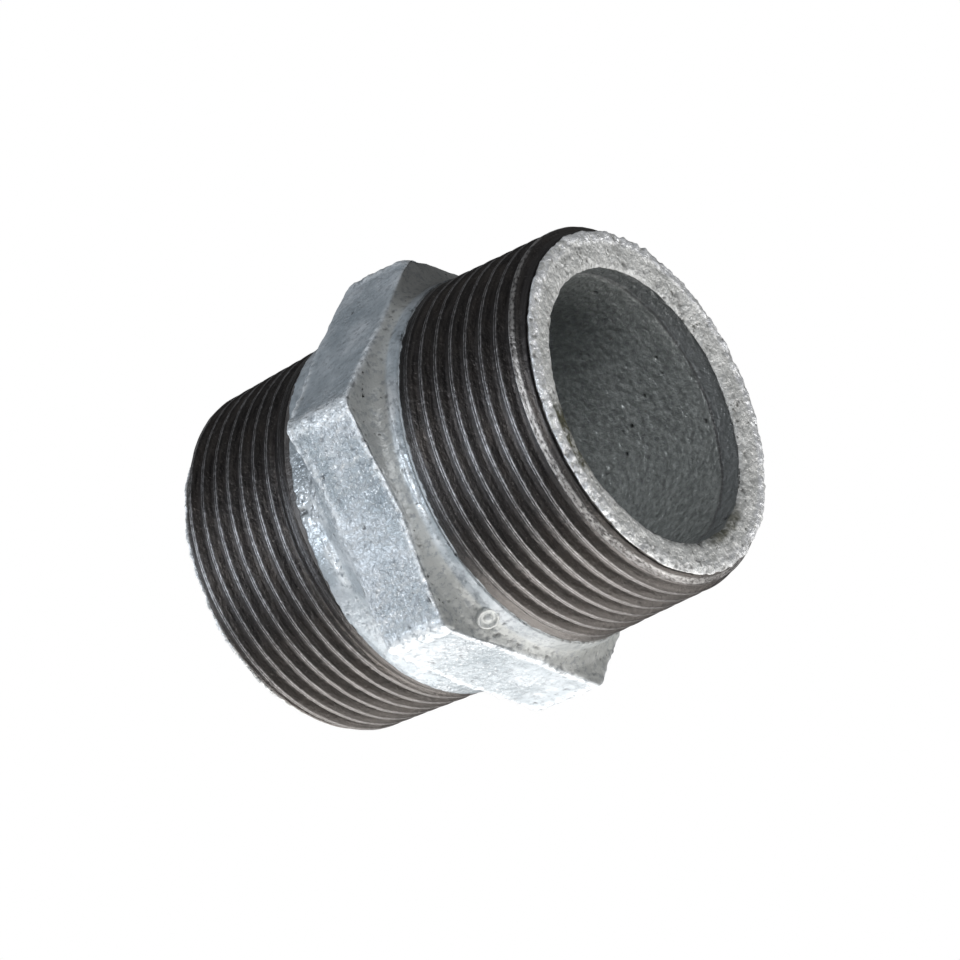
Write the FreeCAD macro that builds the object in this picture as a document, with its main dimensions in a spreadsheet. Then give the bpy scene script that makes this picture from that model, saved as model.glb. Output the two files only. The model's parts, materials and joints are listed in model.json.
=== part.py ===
import FreeCAD, Part

import math
import os

import Sketcher
from FreeCAD import Placement, Rotation, Vector

# Hexagon nipple, R 1 1/2: one hollow casting with a wrench hexagon in the middle and a tapered
# male pipe thread on each end. It stands on its lower end face, with its axis along +Z and the
# origin at the middle of that face. The solids are the regions of the one casting that are made
# or finished differently, and they meet face to face. All lengths are millimetres.

os.makedirs("parts", exist_ok=True)
doc = FreeCAD.newDocument("hexagon_nipple")
dims = doc.addObject("Spreadsheet::Sheet", "dims")

SIZES = [
    # Whole fitting and its hexagon.
    ("overall_length", "58"),
    ("across_flats", "51"),
    ("corner_round", "1.5"),
    ("corner_edge_length", "10"),
    ("shoulder_slope", "3"),
    ("shoulder_crown", "80"),
    ("neck_fillet", "2.1"),
    ("neck_root_radius", "24.4"),
    ("neck_end_radius", "24.3"),
    ("collar_top_radius", "25.2"),
    ("cut_margin", "2"),
    # Thread to EN 10226, size 1 1/2: eleven threads an inch, taper one in sixteen on diameter.
    ("thread_pitch", "2.309"),
    ("gauge_diameter", "47.803"),
    ("gauge_length", "12.7"),
    ("diameter_taper", "1 / 16"),
    ("thread_depth", "1.479"),
    ("flank_angle", "27.5"),
    ("thread_zone", "19.4"),
    ("full_turns", "8"),
    ("runout_turns", "1"),
    ("runout_height", "0.528"),
    ("groove_overshoot", "0.12"),
    ("lead_in_length", "1"),
    ("upper_start_angle", "-59"),
    ("lower_start_angle", "94"),
    # Waterway, wall and the two end rims.
    ("bore_diameter", "35.6"),
    ("mouth_diameter", "36.3"),
    ("mouth_depth", "3"),
    ("wall_outer_radius", "21.4"),
    ("rim_thickness", "0.8"),
    ("rim_outer_radius", "22.25"),
    ("rim_round", "0.5"),
    ("lip_round", "0.35"),
    # Round casting mark on the upper shoulder.
    ("mark_radius", "1.5"),
    ("mark_relief", "0.6"),
    ("mark_root", "1.2"),
    ("mark_dome", "0.3"),
    ("mark_azimuth", "-50.3"),
    ("mark_lean", "30"),
    # Sizes that follow from the ones above.
    ("middle_height", "=overall_length / 2"),
    ("apothem", "=across_flats / 2"),
    ("sharp_corner_radius", "=apothem / cos(30 deg)"),
    ("corner_radius", "=sharp_corner_radius - corner_round * (1 / cos(30 deg) - 1)"),
    ("slope", "=tan(shoulder_slope * 1 deg)"),
    ("cut_outer_radius", "=sharp_corner_radius + cut_margin"),
    ("arc_centre_radius", "=neck_root_radius + neck_fillet"),
    ("cone_under_arc", "=corner_edge_length / 2 + slope * (corner_radius - arc_centre_radius)"),
    ("arc_centre_height", "=cone_under_arc + neck_fillet / cos(shoulder_slope * 1 deg)"),
    ("cone_end_radius", "=arc_centre_radius - neck_fillet * sin(shoulder_slope * 1 deg)"),
    ("cone_end_height", "=arc_centre_height - neck_fillet * cos(shoulder_slope * 1 deg)"),
    ("cone_start_height", "=corner_edge_length / 2 - slope * (cut_outer_radius - corner_radius)"),
    ("collar_arc_width", "=arc_centre_radius - collar_top_radius"),
    ("collar_half", "=arc_centre_height - sqrt(neck_fillet ^ 2 - collar_arc_width ^ 2)"),
    ("collar_height", "=2 * collar_half"),
    ("cut_top_height", "=arc_centre_height + cut_margin"),
    ("neck_arc_height", "=arc_centre_height - collar_half"),
    ("neck_height", "=middle_height - thread_zone - collar_half"),
    ("thread_height", "=thread_zone - rim_thickness"),
    ("radius_taper", "=diameter_taper / 2"),
    ("end_crest_radius", "=gauge_diameter / 2 - gauge_length * radius_taper"),
    ("neck_crest_radius", "=end_crest_radius + thread_zone * radius_taper"),
    ("lead_in_height", "=thread_height - lead_in_length"),
    ("lead_in_radius", "=neck_crest_radius - lead_in_height * radius_taper"),
    ("root_half", "=thread_pitch / 12"),
    ("open_half", "=thread_pitch * 5 / 12 + groove_overshoot * tan(flank_angle * 1 deg)"),
    ("runout_start", "=runout_height + runout_turns * thread_pitch"),
    ("runout_open_radius", "=neck_crest_radius - runout_start * radius_taper + groove_overshoot"),
    ("runout_root_radius", "=runout_open_radius - groove_overshoot - thread_depth"),
    ("runout_open_top", "=runout_start + open_half"),
    ("runout_open_foot", "=runout_start - open_half"),
    ("runout_root_top", "=runout_start + root_half"),
    ("runout_root_foot", "=runout_start - root_half"),
    ("runout_angle", "=atan(thread_depth / thread_pitch)"),
    ("groove_start", "=runout_start + full_turns * thread_pitch"),
    ("groove_open_radius", "=neck_crest_radius - groove_start * radius_taper + groove_overshoot"),
    ("groove_root_radius", "=groove_open_radius - groove_overshoot - thread_depth"),
    ("groove_open_top", "=groove_start + open_half"),
    ("groove_open_foot", "=groove_start - open_half"),
    ("groove_root_top", "=groove_start + root_half"),
    ("groove_root_foot", "=groove_start - root_half"),
    ("groove_length", "=full_turns * thread_pitch"),
    ("runout_length", "=runout_turns * thread_pitch"),
    ("taper_angle", "=atan(radius_taper)"),
    ("bore_radius", "=bore_diameter / 2"),
    ("mouth_radius", "=mouth_diameter / 2"),
    ("wall_foot", "=rim_thickness"),
    ("wall_top", "=overall_length - rim_thickness"),
    ("mouth_foot", "=mouth_depth"),
    ("mouth_top", "=overall_length - mouth_depth"),
    ("rim_round_height", "=rim_thickness - rim_round"),
    ("rim_face_radius", "=rim_outer_radius - rim_round"),
    ("lip_height", "=rim_thickness - lip_round"),
    ("lip_face_radius", "=mouth_radius + lip_round"),
    ("mark_top", "=mark_root + mark_relief"),
    ("mark_side_height", "=mark_top - mark_dome"),
    ("mark_face_radius", "=mark_radius - mark_dome"),
]

for row, (alias, value) in enumerate(SIZES, start=1):
    dims.set("A%d" % row, alias)
    dims.set("B%d" % row, value)
    dims.setAlias("B%d" % row, alias)
doc.recompute()


def size(alias):
    """The value of one row of the sheet, as a plain number."""
    value = dims.get(alias)
    return float(getattr(value, "Value", value))


def origin_feature(body, role):
    """The plane or axis of the body's own origin that has this role."""
    return next(item for item in body.Origin.OriginFeatures if item.Role == role)


def locate(sketch, geometry, end, axis, alias):
    """Holds one end of a line or arc at the sheet's distance from the sketch's origin."""
    if alias == "zero":
        sketch.addConstraint(Sketcher.Constraint("PointOnObject", geometry, end, -1))
        return
    kind = "DistanceX" if axis == 0 else "DistanceY"
    index = sketch.addConstraint(
        Sketcher.Constraint(kind, -1, 1, geometry, end, size(alias))
    )
    sketch.setExpression("Constraints[%d]" % index, "dims." + alias)


def draw_profile(body, name, corners, arcs=None):
    """A closed outline in the body's XZ plane, through corners named in the sheet.

    arcs maps the number of a side to the sheet's radius and to the side that bulges: +1 puts
    the arc's centre on the left of the way round, and -1 on the right.
    """
    arcs = arcs or {}
    sketch = body.newObject("Sketcher::SketchObject", name)
    sketch.AttachmentSupport = [(origin_feature(body, "XZ_Plane"), "")]
    sketch.MapMode = "FlatFace"
    points = [
        Vector(size(radius), 0 if height == "zero" else size(height), 0)
        for radius, height in corners
    ]
    count = len(points)
    starts = []
    for side in range(count):
        first, last = points[side], points[(side + 1) % count]
        if side not in arcs:
            sketch.addGeometry(Part.LineSegment(first, last), False)
            starts.append((1, 2))
            continue
        radius_name, turn = arcs[side]
        radius = size(radius_name)
        chord = last - first
        left = Vector(-chord.y, chord.x, 0).normalize()
        rise = math.sqrt(radius ** 2 - (chord.Length / 2) ** 2)
        centre = (first + last) * 0.5 + left * (rise * turn)
        middle = centre - left * (radius * turn)
        sketch.addGeometry(Part.Arc(first, middle, last), False)
        starts.append((2, 1) if turn < 0 else (1, 2))
    for side in range(count):
        follower = (side + 1) % count
        sketch.addConstraint(
            Sketcher.Constraint("Coincident", side, starts[side][1], follower, starts[follower][0])
        )
    for side, (radius, height) in enumerate(corners):
        locate(sketch, side, starts[side][0], 0, radius)
        locate(sketch, side, starts[side][0], 1, height)
    for side, (radius_name, _turn) in arcs.items():
        index = sketch.addConstraint(
            Sketcher.Constraint("Radius", side, size(radius_name))
        )
        sketch.setExpression("Constraints[%d]" % index, "dims." + radius_name)
    return sketch


def revolve(body, name, corners, arcs=None):
    """Turns an outline of the XZ plane round the body's Z axis."""
    feature = body.newObject("PartDesign::Revolution", name)
    feature.Profile = draw_profile(body, name + "_profile", corners, arcs)
    feature.ReferenceAxis = (origin_feature(body, "Z_Axis"), [""])
    feature.Angle = 360
    return feature


def new_body(name, placement):
    """An empty body with its label and its place in the fitting."""
    body = doc.addObject("PartDesign::Body", name)
    body.Label = name
    body.Placement = placement
    return body


def upright(height, angle=0):
    """A place on the axis, with the body's own Z axis pointing up."""
    return Placement(Vector(0, 0, height), Rotation(Vector(0, 0, 1), angle))


def inverted(height, angle=0):
    """A place on the axis, with the body's own Z axis pointing down."""
    turned = Rotation(Vector(0, 0, 1), angle).multiply(Rotation(Vector(1, 0, 0), 180))
    return Placement(Vector(0, 0, height), turned)


def make_waterway_wall():
    """The inner wall of the casting, with the bore and a shallow recess at each mouth."""
    body = new_body("waterway_wall", upright(0))
    corners = [
        ("mouth_radius", "wall_foot"),
        ("wall_outer_radius", "wall_foot"),
        ("wall_outer_radius", "wall_top"),
        ("mouth_radius", "wall_top"),
        ("mouth_radius", "mouth_top"),
        ("bore_radius", "mouth_top"),
        ("bore_radius", "mouth_foot"),
        ("mouth_radius", "mouth_foot"),
    ]
    revolve(body, "wall", corners)
    return body


def make_end_rim(name, placement):
    """The rough cast ring round a mouth: its outer edge and the lip of the bore are rounded."""
    body = new_body(name, placement)
    corners = [
        ("mouth_radius", "zero"),
        ("rim_outer_radius", "zero"),
        ("rim_outer_radius", "rim_round_height"),
        ("rim_face_radius", "rim_thickness"),
        ("lip_face_radius", "rim_thickness"),
        ("mouth_radius", "lip_height"),
    ]
    revolve(body, name + "_ring", corners, {2: ("rim_round", 1), 4: ("lip_round", 1)})
    return body


def make_neck(name, placement):
    """The round neck between the hexagon's shoulder and the thread, with its hollow fillet."""
    body = new_body(name, placement)
    corners = [
        ("wall_outer_radius", "zero"),
        ("collar_top_radius", "zero"),
        ("neck_root_radius", "neck_arc_height"),
        ("neck_end_radius", "neck_height"),
        ("wall_outer_radius", "neck_height"),
    ]
    revolve(body, name + "_ring", corners, {1: ("neck_fillet", -1)})
    return body


def cut_groove(body, name, corners, height, angle):
    """Cuts a right-hand groove that follows a cone, downwards from where it is drawn."""
    sketch = draw_profile(body, name + "_profile", corners)
    groove = body.newObject("PartDesign::SubtractiveHelix", name)
    groove.Profile = sketch
    groove.ReferenceAxis = (origin_feature(body, "Z_Axis"), [""])
    groove.Mode = "pitch-height-angle"
    groove.LeftHanded = False
    groove.Reversed = True
    groove.setExpression("Pitch", "dims.thread_pitch * 1 mm")
    groove.setExpression("Height", "dims.%s * 1 mm" % height)
    groove.setExpression("Angle", "dims." + angle)
    return groove


def make_thread(name, placement):
    """A tapered male thread: the cone of the crests, the thread groove and its run-out."""
    body = new_body(name, placement)
    blank = [
        ("wall_outer_radius", "zero"),
        ("neck_crest_radius", "zero"),
        ("lead_in_radius", "lead_in_height"),
        ("rim_outer_radius", "thread_height"),
        ("wall_outer_radius", "thread_height"),
    ]
    revolve(body, name + "_blank", blank)
    full = [
        ("groove_root_radius", "groove_root_foot"),
        ("groove_open_radius", "groove_open_foot"),
        ("groove_open_radius", "groove_open_top"),
        ("groove_root_radius", "groove_root_top"),
    ]
    cut_groove(body, name + "_groove", full, "groove_length", "taper_angle")
    runout = [
        ("runout_root_radius", "runout_root_foot"),
        ("runout_open_radius", "runout_open_foot"),
        ("runout_open_radius", "runout_open_top"),
        ("runout_root_radius", "runout_root_top"),
    ]
    cut_groove(body, name + "_runout", runout, "runout_length", "runout_angle")
    return body


def make_hex_collar():
    """The wrench hexagon: rounded corners, nearly square shoulders with hollow fillets."""
    body = new_body("hex_collar", upright(size("middle_height")))
    outline = body.newObject("Sketcher::SketchObject", "hexagon")
    outline.AttachmentSupport = [(origin_feature(body, "XY_Plane"), "")]
    outline.MapMode = "FlatFace"
    reach = size("sharp_corner_radius")
    corners = [
        Vector(reach * math.cos(math.radians(60 * k)), reach * math.sin(math.radians(60 * k)), 0)
        for k in range(6)
    ]
    for k in range(6):
        outline.addGeometry(Part.LineSegment(corners[k], corners[(k + 1) % 6]), False)
    guide = outline.addGeometry(Part.Circle(Vector(0, 0, 0), Vector(0, 0, 1), reach), True)
    for k in range(6):
        outline.addConstraint(Sketcher.Constraint("Coincident", k, 2, (k + 1) % 6, 1))
        outline.addConstraint(Sketcher.Constraint("PointOnObject", k, 1, guide))
    for k in range(1, 6):
        outline.addConstraint(Sketcher.Constraint("Equal", 0, k))
    outline.addConstraint(Sketcher.Constraint("Coincident", guide, 3, -1, 1))
    outline.addConstraint(Sketcher.Constraint("PointOnObject", 0, 1, -1))
    index = outline.addConstraint(Sketcher.Constraint("Radius", guide, reach))
    outline.setExpression("Constraints[%d]" % index, "dims.sharp_corner_radius")

    prism = body.newObject("PartDesign::Pad", "prism")
    prism.Profile = outline
    prism.SideType = "Symmetric"
    prism.setExpression("Length", "dims.collar_height * 1 mm")
    doc.recompute()

    edges = [
        "Edge%d" % number
        for number, edge in enumerate(prism.Shape.Edges, start=1)
        if abs(edge.tangentAt(edge.FirstParameter).z) > 0.99
    ]
    rounded = body.newObject("PartDesign::Fillet", "corner_rounds")
    rounded.Base = (prism, edges)
    rounded.setExpression("Radius", "dims.corner_round * 1 mm")

    cut = [
        ("neck_root_radius", "arc_centre_height"),
        ("cone_end_radius", "cone_end_height"),
        ("cut_outer_radius", "cone_start_height"),
        ("cut_outer_radius", "cut_top_height"),
        ("neck_root_radius", "cut_top_height"),
    ]
    shoulder = body.newObject("PartDesign::Groove", "shoulder")
    arcs = {0: ("neck_fillet", 1), 1: ("shoulder_crown", -1)}
    shoulder.Profile = draw_profile(body, "shoulder_profile", cut, arcs)
    shoulder.ReferenceAxis = (origin_feature(body, "Z_Axis"), [""])
    shoulder.Angle = 360
    doc.recompute()

    both = body.newObject("PartDesign::Mirrored", "both_shoulders")
    both.Originals = [shoulder]
    both.MirrorPlane = (origin_feature(body, "XY_Plane"), [""])
    body.Tip = both

    seat = body.newObject("Sketcher::SketchObject", "wall_seat")
    seat.AttachmentSupport = [(origin_feature(body, "XY_Plane"), "")]
    seat.MapMode = "FlatFace"
    seat.addGeometry(Part.Circle(Vector(0, 0, 0), Vector(0, 0, 1), size("wall_outer_radius")), False)
    seat.addConstraint(Sketcher.Constraint("Coincident", 0, 3, -1, 1))
    index = seat.addConstraint(Sketcher.Constraint("Radius", 0, size("wall_outer_radius")))
    seat.setExpression("Constraints[%d]" % index, "dims.wall_outer_radius")
    opening = body.newObject("PartDesign::Pocket", "wall_opening")
    opening.Profile = seat
    opening.SideType = "Symmetric"
    opening.setExpression("Length", "(dims.collar_height + dims.cut_margin) * 1 mm")
    body.Tip = opening
    return body


def make_casting_mark(collar, neck):
    """A plain round raised mark that grows out of the upper shoulder's fillet."""
    azimuth = math.radians(size("mark_azimuth"))
    lean = math.radians(size("mark_lean"))
    # The foot of the mark lies on the fillet, where its surface leans by this angle.
    foot_radius = size("arc_centre_radius") - size("neck_fillet") * math.cos(lean)
    foot_height = (
        size("middle_height") + size("arc_centre_height") - size("neck_fillet") * math.sin(lean)
    )
    outward = Vector(math.cos(azimuth), math.sin(azimuth), 0)
    normal = outward * math.cos(lean) + Vector(0, 0, math.sin(lean))
    foot = outward * foot_radius + Vector(0, 0, foot_height) - normal * size("mark_root")
    button = new_body("mark_button", Placement(foot, Rotation(Vector(0, 0, 1), normal)))
    side = [
        ("zero", "zero"),
        ("mark_radius", "zero"),
        ("mark_radius", "mark_side_height"),
        ("mark_face_radius", "mark_top"),
        ("zero", "mark_top"),
    ]
    sketch = button.newObject("Sketcher::SketchObject", "button_profile")
    sketch.AttachmentSupport = [(origin_feature(button, "XZ_Plane"), "")]
    sketch.MapMode = "FlatFace"
    points = [
        Vector(0 if radius == "zero" else size(radius), 0 if height == "zero" else size(height), 0)
        for radius, height in side
    ]
    for k in range(len(points)):
        sketch.addGeometry(Part.LineSegment(points[k], points[(k + 1) % len(points)]), False)
    for k in range(len(points)):
        follower = (k + 1) % len(points)
        sketch.addConstraint(Sketcher.Constraint("Coincident", k, 2, follower, 1))
    sketch.addConstraint(Sketcher.Constraint("Coincident", 0, 1, -1, 1))
    sketch.addConstraint(Sketcher.Constraint("PointOnObject", 4, 1, -2))
    sketch.addConstraint(Sketcher.Constraint("PointOnObject", 1, 1, -1))
    for corner, alias in ((1, "mark_radius"), (2, "mark_radius"), (3, "mark_face_radius")):
        locate(sketch, corner, 1, 0, alias)
    for corner, alias in ((2, "mark_side_height"), (3, "mark_top"), (4, "mark_top")):
        locate(sketch, corner, 1, 1, alias)
    turned = button.newObject("PartDesign::Revolution", "button")
    turned.Profile = sketch
    turned.ReferenceAxis = (origin_feature(button, "Z_Axis"), [""])
    turned.Angle = 360

    casting = doc.addObject("Part::MultiFuse", "casting_under_mark")
    casting.Shapes = [collar, neck]
    mark = doc.addObject("Part::Cut", "casting_mark")
    mark.Base = button
    mark.Tool = casting
    mark.Label = "casting_mark"
    return mark


length = size("overall_length")
middle = size("middle_height")
collar_half = size("collar_half")
thread_zone = size("thread_zone")
thread_height = size("thread_height")
rim_thickness = size("rim_thickness")

wall = make_waterway_wall()
hex_collar = make_hex_collar()
upper_neck = make_neck("upper_neck", upright(middle + collar_half))
lower_neck = make_neck("lower_neck", inverted(middle - collar_half))
upper_thread = make_thread("upper_thread", upright(length - thread_zone, size("upper_start_angle")))
lower_thread = make_thread("lower_thread", inverted(thread_zone, size("lower_start_angle")))
upper_rim = make_end_rim("upper_end_rim", upright(length - rim_thickness))
lower_rim = make_end_rim("lower_end_rim", inverted(rim_thickness))
casting_mark = make_casting_mark(hex_collar, upper_neck)
doc.recompute()

nodes = [
    wall,
    hex_collar,
    upper_neck,
    lower_neck,
    upper_thread,
    lower_thread,
    upper_rim,
    lower_rim,
    casting_mark,
]

for item in doc.Objects:
    if "Invalid" in item.State or "Error" in item.State:
        raise RuntimeError("%s did not recompute: %s" % (item.Name, item.State))
for node in nodes:
    if node.Shape.isNull() or not node.Shape.isValid():
        raise RuntimeError("%s has no valid shape" % node.Label)
for node in nodes:
    node.Shape.exportStep("parts/%s.step" % node.Label)
    box = node.Shape.BoundBox
    print(
        "%-14s volume %9.1f  z %6.2f to %6.2f  solids %d"
        % (node.Label, node.Shape.Volume, box.ZMin, box.ZMax, len(node.Shape.Solids))
    )
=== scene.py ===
import json
import math

import bmesh
import bpy
import numpy as np
from mathutils import Matrix, Vector


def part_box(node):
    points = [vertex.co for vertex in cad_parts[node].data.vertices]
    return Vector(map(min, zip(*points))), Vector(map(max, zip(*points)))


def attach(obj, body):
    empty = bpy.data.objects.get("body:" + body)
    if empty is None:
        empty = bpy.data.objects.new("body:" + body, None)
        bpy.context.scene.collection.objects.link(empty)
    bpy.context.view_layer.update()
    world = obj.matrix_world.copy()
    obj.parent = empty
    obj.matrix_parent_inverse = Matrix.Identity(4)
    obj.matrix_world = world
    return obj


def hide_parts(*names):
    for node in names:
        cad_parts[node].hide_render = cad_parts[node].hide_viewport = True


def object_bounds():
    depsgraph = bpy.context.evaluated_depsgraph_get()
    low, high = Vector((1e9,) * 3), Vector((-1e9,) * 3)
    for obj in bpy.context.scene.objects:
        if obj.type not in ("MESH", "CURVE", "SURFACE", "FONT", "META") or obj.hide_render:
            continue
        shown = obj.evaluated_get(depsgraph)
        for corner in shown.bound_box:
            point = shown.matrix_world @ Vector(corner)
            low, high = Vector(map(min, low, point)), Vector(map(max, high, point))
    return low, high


# A galvanised hexagon nipple: a zinc-coated hollow casting with a bare cut thread on each end.
# Shapes are worked out in millimetres, in the row frame, and stored in metres. The upper end is the
# one with the greater Z.

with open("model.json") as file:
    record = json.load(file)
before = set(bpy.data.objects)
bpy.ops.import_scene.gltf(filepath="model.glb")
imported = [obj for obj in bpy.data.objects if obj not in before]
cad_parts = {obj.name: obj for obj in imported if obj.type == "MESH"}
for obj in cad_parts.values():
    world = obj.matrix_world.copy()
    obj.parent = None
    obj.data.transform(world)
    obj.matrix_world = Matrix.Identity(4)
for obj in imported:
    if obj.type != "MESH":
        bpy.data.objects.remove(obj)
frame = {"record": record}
cad_low, cad_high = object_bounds()
MM = 0.001


def span(node):
    """The lowest and highest corners of a CAD node, in millimetres."""
    low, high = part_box(node)
    return np.array(low) / MM, np.array(high) / MM


mounts = {mount["name"]: mount for mount in frame["record"]["mounts"]}
LENGTH = cad_high.z / MM
MIDDLE = LENGTH / 2

# The hexagon, its shoulders and the necks.
APOTHEM = span("hex_collar")[1][1]
CORNER_ROUND = 1.5
CORNER_RADIUS = span("hex_collar")[1][0]
COLLAR_HALF = span("hex_collar")[1][2] - MIDDLE
# Half the height of the hexagon at its corners.
EDGE_HALF = 5.0
SHOULDER_SLOPE = math.radians(3)
NECK_FILLET = 2.1
NECK_RADIUS = 24.4
NECK_TOP = span("upper_neck")[1][2] - MIDDLE
# Further than this from the middle, a neck narrows by the taper for each millimetre.
NECK_TAPER_START = 8.8
NECK_TAPER = 0.13
# The bare end of a neck is this much deeper than its zinc.
CUT_DEPTH = 0.27
# The raised mark sits on the upper fillet: height of the fillet's centre above the middle of the
# fitting, and how steeply the mark faces up.
FILLET_MIDDLE = 8.2
MARK_LEAN = math.radians(30)

# The end faces and the bore. The core was a little off the thread's centre, so the lip of each
# mouth is too.
RIM_HEIGHT = LENGTH - span("upper_end_rim")[0][2]
RIM_RADIUS = span("upper_end_rim")[1][0]
BORE_RADIUS = mounts["waterway_bore"]["dims"]["r_mm"]
# The bore's wall stops this far from the end faces, behind the rims.
BORE_END = 0.9
# A shallow recess at each mouth.
MOUTH_RADIUS = 18.15
MOUTH_DEPTH = 3.6
LIP_RADIUS = 17.5
LIP_OFFSET = 0.7
LIP_AZIMUTH = math.radians(115)

# The pieces meet inside the wall at the seat. Their hidden backs stay just short of it.
SEAT_RADIUS = 21.4
OUTER_BACK = SEAT_RADIUS - 0.1
BORE_BACK = SEAT_RADIUS - 0.15
# Depth of a rim's hidden back below its end face.
RIM_BACK = 1.35
# Points closer together than this, in metres, are merged.
WELD_DISTANCE = 2e-7

# Blowholes in the bore wall: azimuth, height and radius. The same for one blister.
BLOWHOLES = [
    (75, 53.3, 0.28),
    (107, 50.8, 0.22),
    (100, 50.2, 0.2),
    (86, 42.7, 0.3),
    (76.5, 40.6, 0.26),
    (85.5, 41.2, 0.2),
    (95, 46.4, 0.26),
    (150, 51.5, 0.3),
]
BLISTER = (69, 37.8, 0.9)

# The thread, R 1 1/2. Its crests and roots are worn round.
PITCH = 2.309
TAPER = 1 / 32
GAUGE_RADIUS = 23.9015
GAUGE_LENGTH = 12.7
CREST_FLAT = 0.17
CREST_ROUND = 0.18
ROOT_ROUND = 0.46
FLANK_ANGLE = math.radians(62.5)
THREAD_ZONE = MIDDLE - NECK_TOP
# Heights of a crest at azimuth 0. Each is read at azimuth -88, the side that the photo shows.
UPPER_CREST = 0.90 + PITCH * 88 / 360
LOWER_CREST = 0.44 + PITCH * 88 / 360
# Burrs above and below a crest, slightly raised and painted as bright highlight lines: how far from
# it and how wide, in pitches.
UPPER_BURR_HIGHLIGHT = (0.055, 0.026)
LOWER_BURR_HIGHLIGHT = (-0.095, 0.030)

# The casting is uneven: how far the upper and lower edges of the hexagon sit above their nominal
# height, by azimuth.
EDGE_AZIMUTHS = [-180, -150, -120, -90, -60, -30, 0, 60, 120, 150]
UPPER_EDGE = [0.8, 0.9, 1.0, 1.3, 0.6, 0.4, 0.2, 0.0, 0.4, 1.1]
LOWER_EDGE = [0.0, -0.1, 0.9, 1.3, 1.1, 0.4, -0.2, 0.0, 0.0, 0.0]
# How far from the middle the zinc reaches before the cut thread starts, at the same azimuths.
UPPER_ZINC = [9.6, 9.7, 9.85, 9.9, 9.7, 9.6, 9.5, 9.5, 9.6, 9.6]
LOWER_ZINC = [9.4, 9.0, 8.3, 8.7, 9.7, 9.6, 9.5, 9.4, 9.5, 9.4]

# Patches that differ from the rest: azimuth of the middle, from -180 to 180, and half width, in
# degrees.
# The first three are painted highlights: bands on the upper fillet and the lower neck, painted
# light.
PAINTED_HIGHLIGHT_FILLET = (-102, 30)
PAINTED_HIGHLIGHT_STREAK = (-101, 13)
PAINTED_HIGHLIGHT_STRIP = (-84, 8)
# This patch has more fine folding and so shows more painted glints.
CRINKLED_GLINTING_FLAT = (-72, 9)
SMOOTH_FLAT = (-150, 27)
DUSTY_NECK = (-6, 30)
SOILED_SHOULDER = (-30, 38)
CRUMBLY_EDGE = (-30, 36)
CRUSTY_RIM = (-30, 48)
# The same, with the azimuth measured from 180.
WORN_EDGE = (6, 30)
# The second of these is painted shade on the upper shoulder behind the hexagon's top corner.
PAINTED_SHADE_SHOULDER = (-2, 22)
BLUNT_CORNER = (0, 5)
# The same for dried oil on the threads, with the azimuth from 0 to 360.
DRIED_OIL = (335, 42)
# Azimuths of the two oil stains on a rim.
WIDE_STAIN = -88
NARROW_STAIN = 12
# A scab of rough zinc below the hexagon: azimuth and half width, in radians.
SCAB = (math.radians(257), 0.13)


# ---------------------------------------------------------------- shapes


def grain(points, size, seed):
    """Smooth random lumps of about this size, from -1 to 1, at an array of points."""
    cells = 64
    table = np.random.default_rng(seed).uniform(-1, 1, (cells, cells, cells))
    place = points / size
    cell = np.floor(place).astype(int)
    part = place - cell
    part = part * part * (3 - 2 * part)
    total = np.zeros(points.shape[:-1])
    for corner in np.ndindex(2, 2, 2):
        share = np.ones_like(total)
        for axis in range(3):
            share *= part[..., axis] if corner[axis] else 1 - part[..., axis]
        at = [(cell[..., axis] + corner[axis]) % cells for axis in range(3)]
        total += share * table[at[0], at[1], at[2]]
    return total


def lumps(points, size, seed, octaves=3):
    """Lumps with smaller lumps on them."""
    return sum(grain(points, size / 2**k, seed + k) / 2**k for k in range(octaves))


def pits(points, size, seed, share):
    """Small round hollows, 0 to 1 deep, over about this share of a surface."""
    field = grain(points, size, seed) * 0.7 + grain(points, size * 0.55, seed + 1) * 0.3
    edge = np.quantile(field, 1 - share)
    return np.clip((field - edge) / (field.max() - edge), 0, 1) ** 0.6


def smoothstep(low, high, value):
    """A smooth rise from 0 at low to 1 at high; low may be the greater of the two."""
    part = np.clip((value - low) / (high - low), 0, 1)
    return part * part * (3 - 2 * part)


def peak(value, centre, width, power=2):
    """1 at the centre, falling smoothly to 0; a higher power has a flatter top and steeper sides."""
    return np.exp(-(((value - centre) / width) ** power))


def degrees_from(angles, azimuth):
    """How far round angles are from an azimuth, from -180 to 180 degrees."""
    return (np.degrees(angles) - azimuth + 180) % 360 - 180


def turn_angles(columns):
    """Evenly spaced angles once round the axis, as a row."""
    return np.linspace(0, 2 * math.pi, columns, endpoint=False)[None, :]


def ring_points(radius, height, angles):
    """Points at these radii and heights (rows by columns) round the axis."""
    return np.stack(
        [radius * np.cos(angles), radius * np.sin(angles), height + 0 * angles], axis=-1
    )


def hidden_rings(places, angles):
    """Rings at these (radius, height) places, which close a piece where it can't be seen."""
    return np.stack([ring_points(r + 0 * angles[0], z, angles[0]) for r, z in places])


def closed(points, rings, values):
    """A grid of points with its two hidden rings added, and its values with zeros for them."""
    pad = np.zeros(rings.shape[:2])
    kept = {key: np.concatenate([numbers, pad]) for key, numbers in values.items()}
    return np.concatenate([points, rings]), kept


def grid_normals(points):
    """Outward normals of a grid whose columns go once round the axis."""
    around = np.roll(points, -1, axis=1) - np.roll(points, 1, axis=1)
    along = np.gradient(points, axis=0)
    normals = np.cross(around, along)
    return normals / np.maximum(np.linalg.norm(normals, axis=-1, keepdims=True), 1e-12)


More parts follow.
